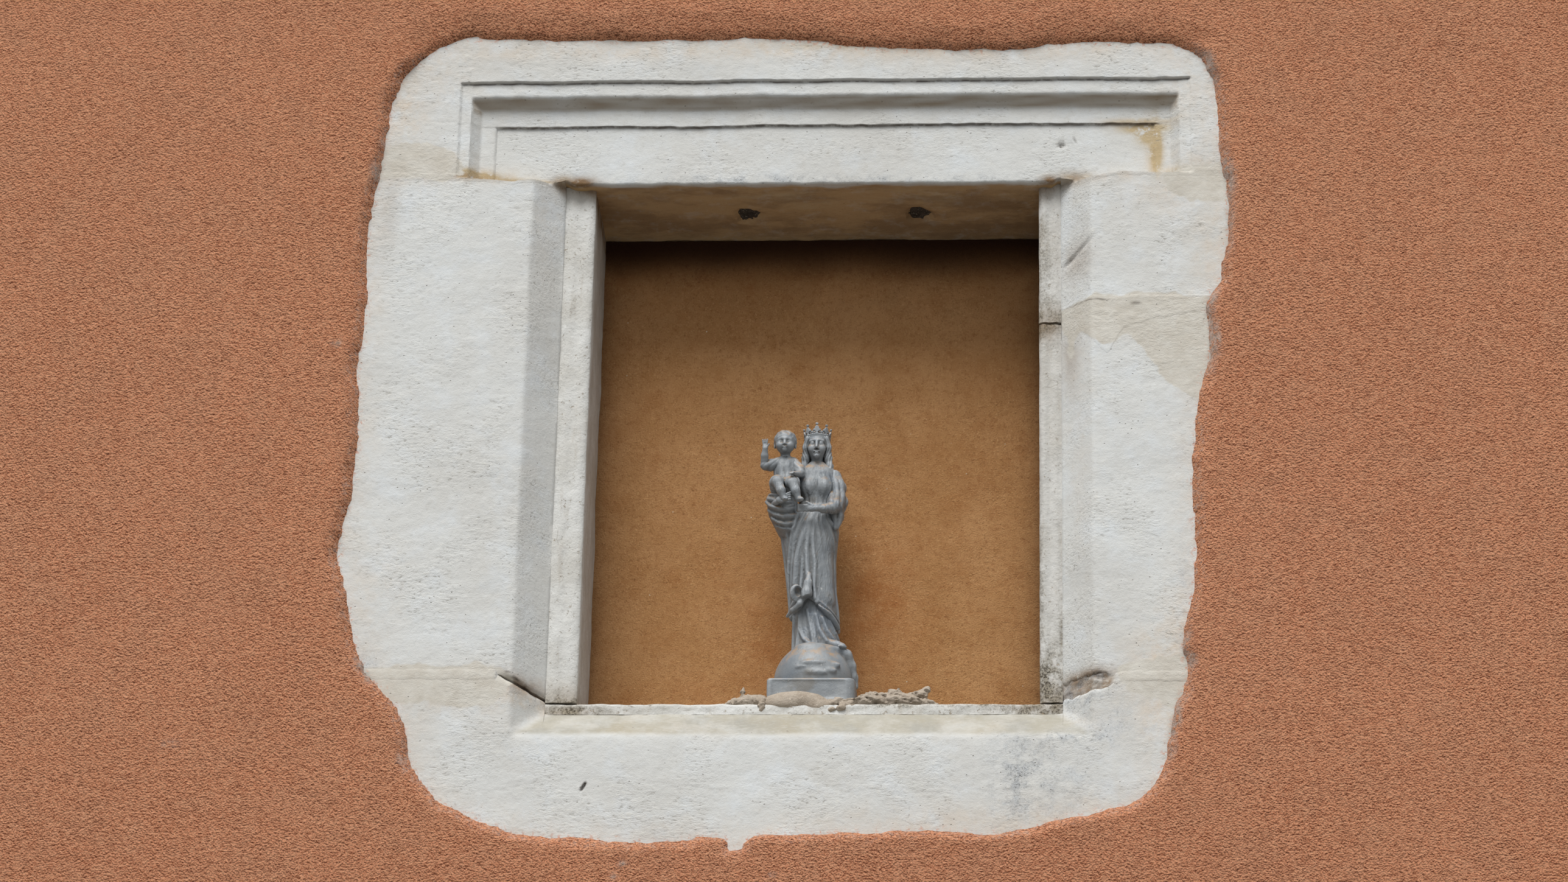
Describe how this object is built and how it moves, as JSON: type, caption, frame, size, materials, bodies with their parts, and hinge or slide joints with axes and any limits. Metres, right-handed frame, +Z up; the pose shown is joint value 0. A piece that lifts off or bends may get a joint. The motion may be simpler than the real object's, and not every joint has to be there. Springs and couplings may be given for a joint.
{
  "type": "wall niche shrine in a blocked window, one wall bay",
  "caption": "Bay of roughcast rubble wall with a whitewashed stone window surround, blocked to a plastered niche that holds a grey statuette of a crowned mother and child.",
  "frame": {"origin": "middle of the base of the wall bay, halfway through its thickness", "axes": "+X to the right along the wall, -Y out of the front face, +Z up"},
  "size_m": [2.6, 0.5, 1.55],
  "materials": {
    "rubble_masonry": "matt, split and rough",
    "roughcast": "matt, coarse thrown lime render",
    "whitewashed_stone": "matt limewash, worn and stained",
    "joint_mortar": "matt",
    "dark_filling": "matt",
    "lining_plaster": "matt limewash",
    "ochre_plaster": "matt, sandy",
    "statuette_grey": "matt, dusty",
    "bedding_mortar": "matt, crumbly"
  },
  "bodies": {
    "root": {"masonry_left": "rubble_masonry", "masonry_right": "rubble_masonry", "masonry_above": "rubble_masonry", "masonry_below": "rubble_masonry", "window_blocking": "rubble_masonry", "render_left": "roughcast", "render_right": "roughcast", "render_above": "roughcast", "render_below": "roughcast", "rear_render": "roughcast", "lintel": "whitewashed_stone", "left_jamb": "whitewashed_stone", "right_jamb_upper": "whitewashed_stone", "right_jamb_lower": "whitewashed_stone", "sill_stone": "whitewashed_stone", "mortar_lintel_left": "joint_mortar", "mortar_lintel_right": "joint_mortar", "mortar_jamb_right": "joint_mortar", "mortar_sill_left": "joint_mortar", "mortar_sill_right": "joint_mortar", "socket_filling_left": "dark_filling", "socket_filling_right": "dark_filling", "left_lining": "lining_plaster", "right_lining_upper": "lining_plaster", "right_lining_lower": "lining_plaster", "ledge": "lining_plaster", "niche_plaster": "ochre_plaster", "plinth_block": "statuette_grey", "half_globe": "statuette_grey", "mother_gown": "statuette_grey", "mother_mantle": "statuette_grey", "mother_head": "statuette_grey", "mother_crown": "statuette_grey", "mother_arm_left": "statuette_grey", "mother_arm_right": "statuette_grey", "child_body": "statuette_grey", "child_head": "statuette_grey", "child_arm_left": "statuette_grey", "child_arm_right": "statuette_grey", "bedding_front": "bedding_mortar", "bedding_left": "bedding_mortar", "bedding_right": "bedding_mortar"}
  },
  "joints": []
}
